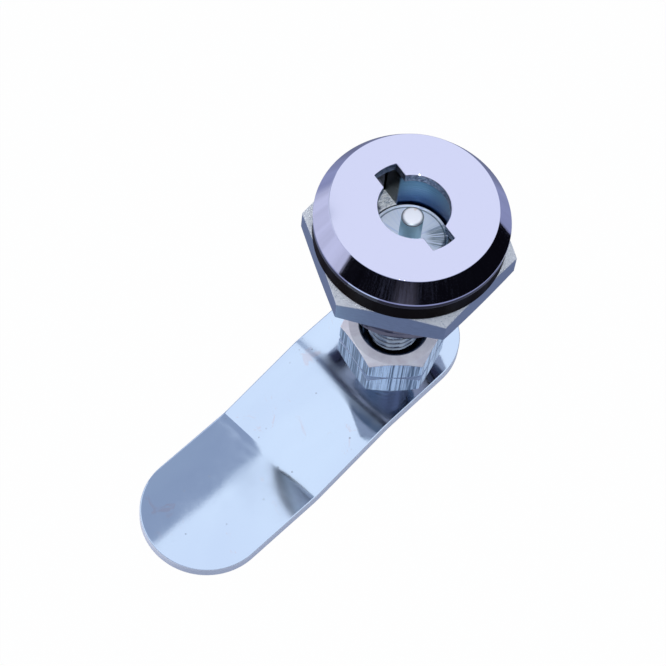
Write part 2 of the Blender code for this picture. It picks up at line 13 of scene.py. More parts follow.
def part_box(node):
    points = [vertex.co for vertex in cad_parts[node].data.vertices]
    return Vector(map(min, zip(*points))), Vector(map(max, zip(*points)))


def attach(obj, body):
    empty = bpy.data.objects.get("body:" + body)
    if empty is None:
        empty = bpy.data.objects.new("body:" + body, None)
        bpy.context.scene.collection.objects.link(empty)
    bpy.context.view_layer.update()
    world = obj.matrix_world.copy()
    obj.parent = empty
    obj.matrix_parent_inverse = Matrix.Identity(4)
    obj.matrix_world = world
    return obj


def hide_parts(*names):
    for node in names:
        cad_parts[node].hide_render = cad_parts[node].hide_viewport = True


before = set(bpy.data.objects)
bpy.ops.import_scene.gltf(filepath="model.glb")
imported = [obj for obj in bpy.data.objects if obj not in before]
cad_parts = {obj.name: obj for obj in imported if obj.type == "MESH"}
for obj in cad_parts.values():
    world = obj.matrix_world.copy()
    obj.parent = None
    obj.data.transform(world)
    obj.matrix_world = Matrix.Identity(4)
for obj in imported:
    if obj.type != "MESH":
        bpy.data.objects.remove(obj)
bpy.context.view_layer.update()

bl_info = {
    "name": "Cam lock dresser",
    "version": (1, 0, 0),
    "blender": (4, 5, 0),
    "location": "3D View > Sidebar > Cam lock",
    "description": "Smooth shells, threads and plated finishes for a packed cam lock",
    "category": "Object",
}

MM = 0.001
TURN = 2 * pi
ROUND = 192  # points in a full turn of a large shell
SMALL_ROUND = 96  # and of a small one
CUT_STEPS = 12  # rows of faces in one turn of a thread
FRONT, REAR = 1, 0
SUPPORT = 0.03 * MM  # keeps a flat face flat up to its rounded edge
HEAD_LIP = 3.0 * MM  # how far the head stands out past its barrel
ROD_HOLE = 4.3 * MM  # radius of the holes that the rod passes through


def high(node):
    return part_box(node)[FRONT].z


def low(node):
    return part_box(node)[REAR].z


def reach(node):
    """Half of a round node's width."""
    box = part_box(node)
    return (box[FRONT].x - box[REAR].x) / 2


# ------------ sizes and colours

def length(name, text, default):
    return bpy.props.FloatProperty(name=name, description=text, default=default, min=0.0, precision=5,
                                   unit="LENGTH")


def colour(name, text, default):
    return bpy.props.FloatVectorProperty(name=name, description=text, default=default, size=3,
                                         subtype="COLOR", min=0.0, max=1.0)


class CamLockSizes(PropertyGroup):
    barrel_pitch: length("Barrel pitch", "Pitch of the barrel's thread", 1.5 * MM)
    rod_pitch: length("Rod pitch", "Pitch of the rod's thread", 1.25 * MM)
    chamfer_width: length("Chamfer width", "Width of the head's chamfer", 2.0 * MM)
    chamfer_height: length("Chamfer height", "Height of the head's chamfer", 3.1 * MM)
    rim_height: length("Rim height", "Height of the head's rim", 1.25 * MM)
    keyhole_radius: length("Keyhole radius", "Radius of the keyhole's round part", 5.16 * MM)
    wing_reach: length("Wing reach", "From the axis to the end of a keyhole wing", 7.38 * MM)
    wing_width: length("Wing width", "Width of the keyhole's wings", 3.7 * MM)
    wing_angle: bpy.props.FloatProperty(name="Wing angle", description="Direction of the keyhole's wings",
                                        default=radians(-12), subtype="ANGLE")
    edge_round: length("Edge round", "Radius left on a machined edge", 0.1 * MM)


class CamLockColours(PropertyGroup):
    chrome: colour("Chrome", "Plating of the head", (0.806, 0.78, 0.93))
    gasket: colour("Gasket", "Moulded rubber", (0.005, 0.004, 0.004))
    nickel: colour("Satin plate", "Plating of the panel nut", (0.31, 0.37, 0.43))
    zinc: colour("Bright zinc", "Plating of the cam and the rod", (0.72, 0.82, 0.955))
    blue_zinc: colour("Blue zinc", "Passivated zinc in the rotor", (0.16, 0.36, 0.52))
    steel: colour("Pin steel", "Ground steel of the pins", (0.88, 0.87, 0.90))
    spring: colour("Spring steel", "Oiled spring steel", (0.10, 0.10, 0.11))
    floor: colour("Floor", "Plain floor", (0.93, 0.93, 0.94))


def sizes():
    return bpy.context.scene.cam_lock_sizes


def colours():
    return bpy.context.scene.cam_lock_colours


# ------------ plain shapes

def polar(radius, turn, z=0.0):
    return Vector((radius * cos(turn), radius * sin(turn), z))


def circle(radius, z, steps=ROUND):
    return [polar(radius, TURN * i / steps, z) for i in range(steps)]


def given(thing, settings):
    for key, value in settings.items():
        setattr(thing, key, value)
    return thing


def link(name, data):
    made = bpy.data.objects.new(name, data)
    bpy.context.scene.collection.objects.link(made)
    return made


def join_rows(form, first, second):
    for i in range(len(first)):
        j = (i + 1) % len(first)
        form.faces.new((first[i], second[i], second[j], first[j]))


def skin(name, rings, closed=True, caps=(False, False)):
    """Faces between rings of equal count. A closed skin also joins the last ring to the first."""
    form = bmesh.new()
    rows = [[form.verts.new(point) for point in ring] for ring in rings]
    pairs = list(zip(rows, rows[1:])) + ([(rows[-1], rows[0])] if closed else [])
    for first, second in pairs:
        join_rows(form, first, second)
    for wanted, row in zip(caps, (rows[0], rows[-1])):
        if wanted:
            middle = form.verts.new(sum((v.co for v in row), Vector()) / len(row))
            for i, vert in enumerate(row):
                form.faces.new((vert, row[(i + 1) % len(row)], middle))
    return mesh_of(name, form)


def mesh_of(name, form, weld=1e-7):
    bmesh.ops.remove_doubles(form, verts=form.verts, dist=weld)
    flat = [face for face in form.faces if face.calc_area() < 1e-15]
    bmesh.ops.delete(form, geom=flat, context="FACES_ONLY")
    bmesh.ops.recalc_face_normals(form, faces=form.faces)
    mesh = bpy.data.meshes.new(name)
    form.to_mesh(mesh)
    form.free()
    return mesh


def fillet(points, radius, segments=4, closed=False):
    """A profile of (radius, height) points with its inner corners rounded."""
    corners = [Vector(p) for p in points]
    made = []
    count = len(corners)
    for i, corner in enumerate(corners):
        if not closed and i in (0, count - 1):
            made.append(corner)
            continue
        before = corners[i - 1] - corner
        after = corners[(i + 1) % count] - corner
        opening = before.angle(after)
        if opening > radians(172):
            made.append(corner)
            continue
        cut = min(radius / tan(opening / 2), before.length * 0.45, after.length * 0.45)
        start = corner + before.normalized() * cut
        end = corner + after.normalized() * cut
        if before.length > 2 * cut + 2 * SUPPORT:
            made.append(start + before.normalized() * SUPPORT)
        for k in range(segments + 1):
            t = k / segments
            made.append(start * (1 - t) ** 2 + corner * 2 * t * (1 - t) + end * t ** 2)
        if after.length > 2 * cut + 2 * SUPPORT:
            made.append(end + after.normalized() * SUPPORT)
    return made


def lathe(name, profile, steps=ROUND, closed=True):
    """A turned shell. An open profile starts and ends on the axis."""
    if closed:
        return skin(name, [circle(r, z, steps) for r, z in profile])
    inner = [circle(r, z, steps) for r, z in profile if r > 1e-9]
    return skin(name, inner, closed=False, caps=(True, True))


def joined(name, *meshes):
    """Several open meshes welded into one closed shell."""
    form = bmesh.new()
    for mesh in meshes:
        form.from_mesh(mesh)
    return mesh_of(name, form, weld=2e-6)


def changed(mesh, kind, **settings):
    """The mesh after one modifier."""
    target = link("target", mesh)
    given(target.modifiers.new("change", kind), settings)
    return baked(target)


def cut(mesh, cutter):
    """Take a closed cutter away from a closed mesh."""
    tool = link("tool", cutter)
    made = changed(mesh, "BOOLEAN", object=tool, solver="EXACT")
    bpy.data.objects.remove(tool, do_unlink=True)
    return made


def baked(target):
    """The object's evaluated mesh, with the object itself removed."""
    bpy.context.view_layer.update()
    depsgraph = bpy.context.evaluated_depsgraph_get()
    mesh = bpy.data.meshes.new_from_object(target.evaluated_get(depsgraph))
    bpy.data.objects.remove(target, do_unlink=True)
    return mesh


def softened(mesh, width, segments=2):
    """The mesh with its sharp edges broken."""
    return changed(mesh, "BEVEL", width=width, segments=segments, limit_method="ANGLE",
                   angle_limit=radians(30), use_clamp_overlap=True)


def place(name, mesh, body, node, slot, sharp=32, finish=None):
    """Stand a finished mesh in for a CAD node. Its finish has the slot's name, unless one is given."""
    mesh.name = name
    mesh.materials.clear()
    mesh.materials.append(look(finish or slot))
    for face in mesh.polygons:
        face.material_index = 0
    mesh.shade_smooth()
    mesh.set_sharp_from_angle(angle=radians(sharp))
    made = link(name, mesh)
    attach(made, body)
    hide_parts(node)


def cad_copy(node):
    """A welded copy of a CAD node's mesh."""
    form = bmesh.new()
    form.from_mesh(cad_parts[node].data)
    bmesh.ops.remove_doubles(form, verts=form.verts, dist=1e-6)
    bmesh.ops.dissolve_limit(form, angle_limit=radians(0.5), verts=form.verts, edges=form.edges)
    mesh = bpy.data.meshes.new(node)
    form.to_mesh(mesh)
    form.free()
    return mesh


# ------------ node helpers

class Graph:
    """Short calls for building a node tree."""

    def __init__(self, tree):
        self.tree = tree

    def add(self, kind, inputs=None, **settings):
        node = given(self.tree.nodes.new(kind), settings)
        for key, value in (inputs or {}).items():
            self.feed(value, node.inputs[key])
        return node

    def feed(self, value, socket):
        if isinstance(value, bpy.types.NodeSocket):
            self.tree.links.new(value, socket)
        else:
            socket.default_value = value

    def math(self, operation, *values, clamp=False):
        return self.add("ShaderNodeMath", dict(enumerate(values)), operation=operation,
                        use_clamp=clamp).outputs[0]

    def times(self, first, second):
        return self.math("MULTIPLY", first, second)

    def plus(self, first, second):
        return self.math("ADD", first, second)

    def less(self, first, second):
        return self.math("SUBTRACT", first, second)

    def rest(self, share):
        """What a share leaves of one."""
        return self.less(1.0, share)

    def vector(self, operation, *values):
        node = self.add("ShaderNodeVectorMath", dict(enumerate(values)), operation=operation)
        return node.outputs["Value" if operation in ("LENGTH", "DOT_PRODUCT") else "Vector"]

    def xyz(self, x, y, z):
        return self.add("ShaderNodeCombineXYZ", {"X": x, "Y": y, "Z": z}).outputs[0]

    def split(self, vector):
        return self.add("ShaderNodeSeparateXYZ", {0: vector}).outputs

    def polar(self, radius, turn, height):
        return self.xyz(self.times(radius, self.math("COSINE", turn)),
                        self.times(radius, self.math("SINE", turn)), height)

    def from_axis(self, place_at):
        """Distance from the lock's axis."""
        return self.vector("LENGTH", self.vector("MULTIPLY", place_at, (1.0, 1.0, 0.0)))

    def facing(self):
        """How far the surface faces up, from -1 to 1."""
        return self.split(self.add("ShaderNodeNewGeometry").outputs["Normal"])["Z"]

    def step(self, value, start, end, low_out=0.0, high_out=1.0):
        """A smooth change from one value to another."""
        node = self.add("ShaderNodeMapRange", {"Value": value, "From Min": start, "From Max": end,
                                               "To Min": low_out, "To Max": high_out},
                        interpolation_type="SMOOTHSTEP")
        return node.outputs["Result"]

    def spread(self, noise, low_out, high_out):
        """The middle of a noise, stretched over a range."""
        return self.step(noise, 0.3, 0.7, low_out, high_out)

    def noise(self, vector, scale, detail=4.0, rough=0.55, warp=0.0):
        node = self.add("ShaderNodeTexNoise", {"Vector": vector, "Scale": scale, "Detail": detail,
                                               "Roughness": rough, "Distortion": warp})
        return node.outputs["Fac"]

    def mix(self, share, first, second):
        node = self.add("ShaderNodeMix", data_type="RGBA")
        for value, key in ((share, "Factor"), (first, "A"), (second, "B")):
            self.feed((*value, 1.0) if isinstance(value, tuple) else value, node.inputs[key])
        return node.outputs["Result"]


def scaled(value, gain=1.0):
    """A plain colour, made brighter or darker."""
    return tuple(min(1.0, part * gain) for part in value)


# ------------ geometry nodes: a threaded band

def sockets(tree, way, kind, names):
    for name in names:
        tree.interface.new_socket(name, in_out=way, socket_type=f"NodeSocket{kind}")


CREST, FLANK = 0.14, 0.74  # shares of half a pitch that are the thread's crest and its flank
BAND_SIZES = ("Low", "High", "Radius", "Depth", "Pitch", "Run Out", "End Chamfer",
              "Flat Reach", "Flat Angle", "Flat Top")


def thread_tree():
    """An open sleeve with a cut thread, two optional flats and a chamfered lower end."""
    tree = bpy.data.node_groups.new("threaded_band", "GeometryNodeTree")
    sockets(tree, "INPUT", "Geometry", ("Geometry",))
    sockets(tree, "INPUT", "Int", ("Steps", "Rows"))
    sockets(tree, "INPUT", "Float", BAND_SIZES)
    sockets(tree, "INPUT", "Material", ("Material",))
    sockets(tree, "OUTPUT", "Geometry", ("Geometry",))
    g = Graph(tree)
    ask = g.add("NodeGroupInput").outputs
    grid = g.add("GeometryNodeMeshGrid", {"Size X": 1.0, "Size Y": 1.0,
                                          "Vertices X": g.plus(ask["Steps"], 1.0),
                                          "Vertices Y": g.plus(ask["Rows"], 1.0)})
    spot = g.split(g.add("GeometryNodeInputPosition").outputs[0])
    share = g.plus(spot["X"], 0.5)
    angle = g.times(share, TURN)
    span = g.less(ask["High"], ask["Low"])
    height = g.math("MULTIPLY_ADD", g.plus(spot["Y"], 0.5), span, ask["Low"])
    above_low = g.less(height, ask["Low"])
    phase = g.math("FRACT", g.less(g.math("DIVIDE", height, ask["Pitch"]), share))
    ramp = g.math("ABSOLUTE", g.math("MULTIPLY_ADD", phase, 2.0, -1.0))
    groove = g.math("DIVIDE", g.less(ramp, CREST), FLANK, clamp=True)
    from_low = g.math("DIVIDE", above_low, ask["Run Out"], clamp=True)
    from_high = g.math("DIVIDE", g.less(ask["High"], height), ask["Run Out"], clamp=True)
    cut_depth = g.times(g.times(groove, ask["Depth"]), g.math("MINIMUM", from_low, from_high))
    plain = g.less(ask["Radius"], cut_depth)
    end = g.plus(g.less(ask["Radius"], ask["End Chamfer"]), above_low)
    round_radius = g.math("MINIMUM", plain, end)
    towards = g.math("ABSOLUTE", g.math("COSINE", g.less(angle, ask["Flat Angle"])))
    flat = g.math("DIVIDE", ask["Flat Reach"], g.math("MAXIMUM", towards, 0.01))
    above = g.math("GREATER_THAN", height, ask["Flat Top"])
    radius = g.math("MINIMUM", round_radius, g.plus(flat, above))
    moved = g.add("GeometryNodeSetPosition", {"Geometry": grid.outputs["Mesh"],
                                              "Position": g.polar(radius, angle, height)})
    welded = g.add("GeometryNodeMergeByDistance", {"Geometry": moved.outputs[0], "Distance": 0.001 * MM})
    real = g.add("GeometryNodeRealizeInstances", {"Geometry": welded.outputs[0]})
    dressed = g.add("GeometryNodeSetMaterial", {"Geometry": real.outputs[0], "Material": ask["Material"]})
    g.feed(dressed.outputs[0], g.add("NodeGroupOutput").inputs[0])
    return tree


def thread_band(finish, steps, **values):
    """Run the thread tree and return its mesh."""
    tree = bpy.data.node_groups.get("threaded_band") or thread_tree()
    rows = round((values["High"] - values["Low"]) / values["Pitch"] * CUT_STEPS)
    values.update({"Steps": steps, "Rows": rows, "Material": look(finish)})
    holder = link("band", bpy.data.meshes.new("band"))
    made = holder.modifiers.new("threads", "NODES")
    made.node_group = tree
    found = {item.name: item.identifier for item in tree.interface.items_tree if item.in_out == "INPUT"}
    for name, value in values.items():
        made[found[name.replace("_", " ")]] = value
    return baked(holder)


# ------------ shader groups

def new_group(name, inputs, outputs):
    """A shader group with a vector input, and inputs and outputs that are plain numbers."""
    tree = bpy.data.node_groups.new(name, "ShaderNodeTree")
    sockets(tree, "INPUT", "Vector", ("Vector",))
    sockets(tree, "INPUT", "Float", inputs)
    sockets(tree, "OUTPUT", "Float", outputs)
    g = Graph(tree)
    return g, g.add("NodeGroupInput").outputs, g.add("NodeGroupOutput").inputs


def turning_group():
    """Fine rings left by a lathe, by distance from the axis and height."""
    g, ask, give = new_group("turning_marks", ("Spacing",), ("Mark",))
    slanted = g.times(g.split(ask["Vector"])["Z"], 1.7)
    along = g.math("DIVIDE", g.plus(g.from_axis(ask["Vector"]), slanted), ask["Spacing"])
    g.feed(g.noise(g.xyz(along, 0.0, 0.0), 1.0, 3.0, 0.7), give["Mark"])
    return g.tree


def drawn_group():
    """Fine lines drawn along the lock's axis, round the part."""
    g, ask, give = new_group("drawn_lines", ("Count", "Slant"), ("Line", "Band"))
    x, y, z = g.split(ask["Vector"])
    around = g.polar(ask["Count"], g.math("ARCTAN2", y, x), g.times(z, ask["Slant"]))
    g.feed(g.noise(around, 1.0, 4.0, 0.7), give["Line"])
    g.feed(g.noise(around, 0.14, 2.0, 0.5), give["Band"])
    return g.tree


def wear_group():
    """Soft blotches, fine pits and small specks in the plating."""
    g, ask, give = new_group("plating_wear", ("Blotch Scale", "Pit Scale", "Speck Scale"),
                             ("Blotch", "Pit", "Speck"))
    g.feed(g.noise(ask["Vector"], ask["Blotch Scale"], 5.0, 0.6, 0.6), give["Blotch"])
    g.feed(g.noise(ask["Vector"], ask["Pit Scale"], 6.0, 0.75), give["Pit"])
    cells = g.add("ShaderNodeTexVoronoi", {"Vector": ask["Vector"], "Scale": ask["Speck Scale"]})
    thin = g.noise(ask["Vector"], g.times(ask["Speck Scale"], 0.3), 2.0)
    spot = g.step(cells.outputs["Distance"], 0.16, 0.05)
    g.feed(g.times(spot, g.step(thin, 0.54, 0.66)), give["Speck"])
    return g.tree


def use_group(finish, name, build, *values):
    """Place a shader group in a finish, with its values in the order of its inputs."""
    tree = bpy.data.node_groups.get(name) or build()
    node = finish.g.add("ShaderNodeGroup", node_tree=tree)
    for value, socket in zip((finish.here, *values), node.inputs):
        finish.g.feed(value, socket)
    return node.outputs


class Finish:
    """A material with its graph, its shader and the object's own coordinates."""

    def __init__(self, name, metallic=1.0):
        self.material = bpy.data.materials.new(f"{name}_finish")
        self.material.use_nodes = True
        self.g = Graph(self.material.node_tree)
        self.shader = self.material.node_tree.nodes["Principled BSDF"]
        self.shader.inputs["Metallic"].default_value = metallic
        self.here = self.g.add("ShaderNodeTexCoord").outputs["Object"]

    def set(self, **inputs):
        for key, value in inputs.items():
            self.g.feed(value, self.shader.inputs[key.replace("_", " ")])

    def paint(self, share, colour_over):
        """Lay a colour over a share of what is there."""
        self.base = self.g.mix(share, self.base, colour_over)

    def done(self, rough, normal, metal=None):
        self.set(Base_Color=self.base, Roughness=rough, Normal=normal)
        if metal is not None:
            self.set(Metallic=metal)
        return self.material

    def bump(self, height, distance, strength=1.0, over=None):
        settings = {"Height": height, "Distance": distance, "Strength": strength}
        if over is not None:
            settings["Normal"] = over
        return self.g.add("ShaderNodeBump", settings).outputs[0]


def wear(finish, blotch, pit, speck):
    return use_group(finish, "plating_wear", wear_group, blotch, pit, speck)


def turning(finish, spacing):
    return use_group(finish, "turning_marks", turning_group, spacing)


def drawn(finish, count, slant):
    return use_group(finish, "drawn_lines", drawn_group, count, slant)


# ------------ finishes

def chrome_finish():
    """Bright face, drawn chamfer and rim, rough keyhole wall; painted dark reflection low on the rim,
    painted shade on the barrel thread.
    """
    f = Finish("chrome")
    g = f.g
    z = g.split(f.here)["Z"]
    face_z = high("housing")
    size = sizes()
    on_chamfer = g.step(z, face_z - 0.05 * MM, face_z - 0.2 * MM)
    wall = g.times(g.step(g.from_axis(f.here), 7.6 * MM, 7.45 * MM), on_chamfer)
    rim_z = face_z - size.chamfer_height
    rim_low = rim_z - size.rim_height
    barrel = g.step(z, rim_low + 0.05 * MM, rim_low - 0.1 * MM)
    lines = drawn(f, 42.0, 160.0)
    marks = wear(f, 180.0, 2600.0, 900.0)
    plate = scaled(colours().chrome)
    drawn_plate = g.mix(g.step(lines["Band"], 0.35, 0.65), plate, scaled(plate, 0.86))
    f.base = g.mix(on_chamfer, plate, drawn_plate)
    f.paint(wall, g.mix(g.step(marks["Pit"], 0.40, 0.66), (0.07, 0.09, 0.15), (0.36, 0.44, 0.58)))
    # Painted dark reflection: the lower part of the rim, below the chamfer, is painted near-black.
    f.paint(g.step(z, rim_z - 0.26 * MM, rim_z - 0.4 * MM), (0.035, 0.028, 0.034))
    # Painted shade: the barrel below the rim is painted dark, with soft blotches, for the shade under the
    # panel nut.
    f.paint(barrel, g.mix(marks["Blotch"], (0.07, 0.07, 0.10), (0.18, 0.17, 0.22)))
    face_rough = g.spread(marks["Blotch"], 0.035, 0.07)
    side_rough = g.spread(lines["Line"], 0.04, 0.12)
    rough = g.plus(g.times(on_chamfer, side_rough), g.times(g.rest(on_chamfer), face_rough))
    rough = g.math("MAXIMUM", rough, g.times(wall, 0.34))
    line_bump = f.bump(g.times(lines["Line"], on_chamfer), 0.006 * MM, 0.5)
    return f.done(rough, f.bump(g.times(marks["Pit"], wall), 0.12 * MM, 0.8, line_bump))


def rubber_finish():
    f = Finish("rubber", metallic=0.0)
    g = f.g
    marks = wear(f, 240.0, 3200.0, 1200.0)
    lines = drawn(f, 24.0, 300.0)
    dark = scaled(colours().gasket)
    f.base = g.mix(marks["Blotch"], dark, (dark[0] * 2.4, dark[1] * 1.9, dark[2] * 1.7))
    f.set(Specular_IOR_Level=0.05, IOR=1.3)
    return f.done(g.spread(lines["Band"], 0.36, 0.62), f.bump(marks["Pit"], 0.03 * MM, 0.5))


def satin_finish():
    """Satin sides drawn round the nut, with rough, bright corner chamfers."""
    f = Finish("satin_plate")
    g = f.g
    corner = g.step(g.from_axis(f.here), 13.4 * MM, 13.7 * MM)
    up = g.facing()
    grain = g.times(corner, g.step(g.math("ABSOLUTE", up), 0.35, 0.7))
    under = g.step(up, -0.3, -0.8)
    flat = g.noise(g.vector("MULTIPLY", f.here, (900.0, 900.0, 9000.0)), 1.0, 5.0, 0.65)
    marks = wear(f, 160.0, 2600.0, 1100.0)
    f.base = g.mix(g.spread(flat, 0.0, 1.0), scaled(colours().nickel), scaled(colours().nickel, 1.3))
    # Painted shade: faces that look down are darkened, for the shade under the nut.
    f.paint(g.times(under, 0.6), (0.03, 0.05, 0.08))
    f.paint(g.times(grain, g.step(marks["Pit"], 0.30, 0.46)), (0.90, 0.90, 0.90))
    f.paint(g.times(marks["Speck"], 0.5), (0.12, 0.13, 0.17))
    rough = g.plus(g.spread(flat, 0.26, 0.36), g.times(marks["Blotch"], 0.06))
    first = f.bump(flat, 0.006 * MM, 0.5)
    return f.done(rough, f.bump(g.times(marks["Pit"], grain), 0.12 * MM, 1.0, first),
                  g.rest(g.times(grain, 0.8)))


def cam_finish():
    """Mirror-like blue zinc with faint stains, specks and a scuffed bend."""
    f = Finish("cam_zinc")
    g = f.g
    x, y = g.split(f.here)[:2]
    marks = wear(f, 130.0, 2600.0, 700.0)
    wide = g.noise(g.vector("MULTIPLY", f.here, (60.0, 32.0, 60.0)), 1.0, 3.0, 0.5, 0.5)
    stain = g.step(g.noise(f.here, 230.0, 5.0, 0.65, 0.8), 0.62, 0.70)
    f.base = g.mix(g.spread(wide, 0.0, 1.0), scaled(colours().zinc), scaled(colours().zinc, 1.08))
    f.paint(g.times(stain, 0.4), (0.80, 0.66, 0.68))
    f.paint(g.times(marks["Speck"], 0.55), (0.28, 0.26, 0.30))
    edge = g.step(g.math("ABSOLUTE", g.facing()), 0.9, 0.6)
    rough = g.plus(g.step(marks["Blotch"], 0.3, 0.75, 0.025, 0.075), g.times(marks["Speck"], 0.2))
    away = g.math("ABSOLUTE", g.plus(y, CRANK_START))
    rough = g.plus(rough, g.times(g.step(away, 2.4 * MM, 0.8 * MM), 0.12))
    scuffed = g.vector("LENGTH", g.xyz(g.less(x, 5.0 * MM), g.plus(y, 30.0 * MM), 0.0))
    rough = g.plus(rough, g.times(g.step(scuffed, 7.0 * MM, 4.0 * MM), 0.06))
    rough = g.plus(rough, g.times(edge, 0.3))
    f.paint(edge, (0.96, 0.97, 1.0))
    wave = f.bump(wide, 0.3 * MM, 0.03)
    return f.done(rough, f.bump(marks["Pit"], 0.002 * MM, 0.3, wave), g.rest(edge))


def zinc_finish():
    """Bright zinc with drawn sides, for nuts, washers and the rod."""
    f = Finish("bright_zinc")
    g = f.g
    side = g.step(g.math("ABSOLUTE", g.facing()), 0.5, 0.2)
    lines = drawn(f, 26.0, 45.0)
    rings = turning(f, 0.12 * MM)
    marks = wear(f, 210.0, 2800.0, 900.0)
    line = g.times(g.step(lines["Line"], 0.42, 0.58), side)
    sunk = g.step(g.from_axis(f.here), 5.5 * MM, 5.3 * MM)
    cream = g.mix(g.step(marks["Blotch"], 0.35, 0.6), (1.0, 0.97, 0.97), (0.86, 0.80, 0.82))
    f.base = g.mix(side, cream, scaled(colours().zinc, 0.76))
    f.paint(line, (0.10, 0.14, 0.20))
    # Painted shade: the sunk ring round a nut's hole is painted dark slate.
    f.paint(sunk, (0.11, 0.15, 0.21))
    f.paint(g.step(marks["Blotch"], 0.55, 0.8, 0.0, 0.3), (0.80, 0.74, 0.80))
    f.paint(g.times(marks["Speck"], 0.5), (0.2, 0.2, 0.24))
    rough = g.plus(g.spread(rings["Mark"], 0.12, 0.22), g.times(line, 0.14))
    first = f.bump(g.times(lines["Line"], side), 0.02 * MM, 0.6)
    second = f.bump(g.times(rings["Mark"], g.rest(side)), 0.008 * MM, 0.5, first)
    top = g.times(g.rest(side), g.rest(sunk))
    return f.done(rough, f.bump(marks["Pit"], 0.01 * MM, 0.4, second), g.rest(g.times(top, 0.95)))


def blue_finish():
    """Passivated zinc: teal bore with painted shade towards the bottom, a slot channel of painted shade, and
    a bright slot floor.
    """
    f = Finish("blue_zinc")
    g = f.g
    z = g.split(f.here)["Z"]
    floor_z, rim = high("spindle"), reach("spindle")
    marks = wear(f, 260.0, 2400.0, 1300.0)
    rings = turning(f, 0.16 * MM)
    # Painted shade: the bore is painted darker towards the pocket's floor.
    deep = g.step(z, floor_z + 0.3 * MM, floor_z + 5.8 * MM)
    blue = colours().blue_zinc
    f.base = g.mix(deep, scaled((blue[0] * 0.10, blue[1] * 0.16, blue[2] * 0.30)), scaled(blue, 0.52))
    f.paint(g.step(marks["Pit"], 0.58, 0.75, 0.0, 0.35), (0.30, 0.46, 0.58))
    # Painted shade: the slot channel beyond the disc is painted near-black, with a few lighter pits.
    channel = g.step(g.from_axis(f.here), rim + 0.36 * MM, rim + 0.6 * MM)
    f.paint(channel, g.mix(g.step(marks["Pit"], 0.57, 0.66), (0.010, 0.020, 0.020), (0.34, 0.42, 0.46)))
    flat = g.times(g.step(g.facing(), 0.6, 0.9), g.step(z, floor_z + 1 * MM, floor_z))
    f.paint(flat, g.mix(g.step(marks["Pit"], 0.38, 0.56), (0.30, 0.36, 0.46), (0.95, 0.97, 1.0)))
    first = f.bump(rings["Mark"], 0.012 * MM, 0.5)
    return f.done(g.spread(rings["Mark"], 0.2, 0.34), f.bump(marks["Pit"], 0.06 * MM, 0.6, first),
                  g.rest(g.times(flat, 0.7)))


def rod_finish():
    """Zinc on the disc and the thread, with turning rings and a radial sweep on the disc; painted shade
    darkens the thread and a groove ring on the disc.
    """
    f = Finish("rod_zinc")
    g = f.g
    x, y, z = g.split(f.here)
    rings = turning(f, 0.1 * MM)
    marks = wear(f, 210.0, 4200.0, 1100.0)
    top, rim = high("spindle"), reach("spindle")
    floor = g.step(z, top - 0.5 * MM, top - 0.2 * MM)
    turn = g.math("ARCTAN2", y, x)
    sweep = g.noise(g.xyz(g.times(turn, 2.2), 0.0, 0.0), 2.4, 3.0, 0.6)
    ice = g.mix(g.step(sweep, 0.3, 0.5), (0.56, 0.66, 0.92), (0.80, 0.86, 1.0))
    radius = g.from_axis(f.here)
    brush = g.noise(g.xyz(g.times(turn, 22.0), g.times(radius, 150.0), 0.0), 1.0, 3.0, 0.7)
    aside = g.math("ABSOLUTE", g.less(turn, 0.85))
    brush = g.times(g.step(brush, 0.40, 0.54), g.step(aside, 0.55, 0.25))
    brush = g.times(brush, g.step(radius, 2.2 * MM, 3.6 * MM))
    ice = g.mix(g.times(brush, 0.85), ice, (0.13, 0.19, 0.26))
    # Painted shade: a dark ring is painted in the shallow groove near the disc's edge.
    band = g.times(g.step(radius, rim - 0.62 * MM, rim - 0.56 * MM),
                   g.step(radius, rim - 0.34 * MM, rim - 0.4 * MM))
    ice = g.mix(g.times(band, 0.8), ice, (0.08, 0.13, 0.18))
    # Painted shade: the thread is painted darker than the zinc, and near-black at its roots.
    root = g.step(radius, 3.45 * MM, 3.85 * MM)
    thread = g.mix(root, (0.05, 0.05, 0.07), scaled(colours().zinc, 0.45))
    f.base = g.mix(floor, thread, ice)
    f.paint(g.times(marks["Speck"], 0.4), (0.2, 0.2, 0.24))
    rough = g.plus(g.spread(rings["Mark"], 0.14, 0.26), g.times(floor, 0.14))
    first = f.bump(rings["Mark"], 0.006 * MM, 0.5)
    return f.done(rough, f.bump(marks["Pit"], 0.01 * MM, 0.4, first), g.rest(g.times(floor, 0.65)))


def pin_finish():
    f = Finish("pin_steel")
    g = f.g
    marks = wear(f, 420.0, 3000.0, 1500.0)
    scuff = g.step(g.noise(f.here, 900.0, 2.0, 0.5, 0.4), 0.56, 0.68)
    z = g.split(f.here)["Z"]
    tip = high("centre_pin")
    end = g.step(z, tip - 0.5 * MM, tip - 0.3 * MM)
    edge = g.times(end, g.step(z, tip - 0.05 * MM, tip - 0.13 * MM))
    f.base = g.mix(g.times(scuff, 0.55), scaled(colours().steel, 0.82), (0.56, 0.42, 0.38))
    # The pin's side below its tip is painted bright cyan: partly its blue zinc plating, partly a painted
    # reflection.
    f.base = g.mix(end, (0.56, 0.86, 1.0), f.base)
    # Painted shade: a dark ring round the edge of the pin's tip.
    f.paint(g.times(edge, 0.85), (0.05, 0.08, 0.11))
    f.set(Base_Color=f.base, Roughness=g.spread(marks["Blotch"], 0.30, 0.40), Metallic=0.45)
    return f.material


def spring_finish():
    f = Finish("spring_steel")
    g = f.g
    marks = wear(f, 300.0, 4200.0, 1500.0)
    dark = colours().spring
    f.base = g.mix(marks["Blotch"], scaled(dark), scaled(dark, 2.2))
    return f.done(g.spread(marks["Pit"], 0.25, 0.42), f.bump(marks["Pit"], 0.015 * MM, 0.5))


MAKERS = {
    "chrome": chrome_finish, "rubber": rubber_finish, "satin_plate": satin_finish,
    "cam_zinc": cam_finish, "bright_zinc": zinc_finish, "blue_zinc": blue_finish,
    "rod_zinc": rod_finish, "pin_steel": pin_finish, "spring_steel": spring_finish,
}


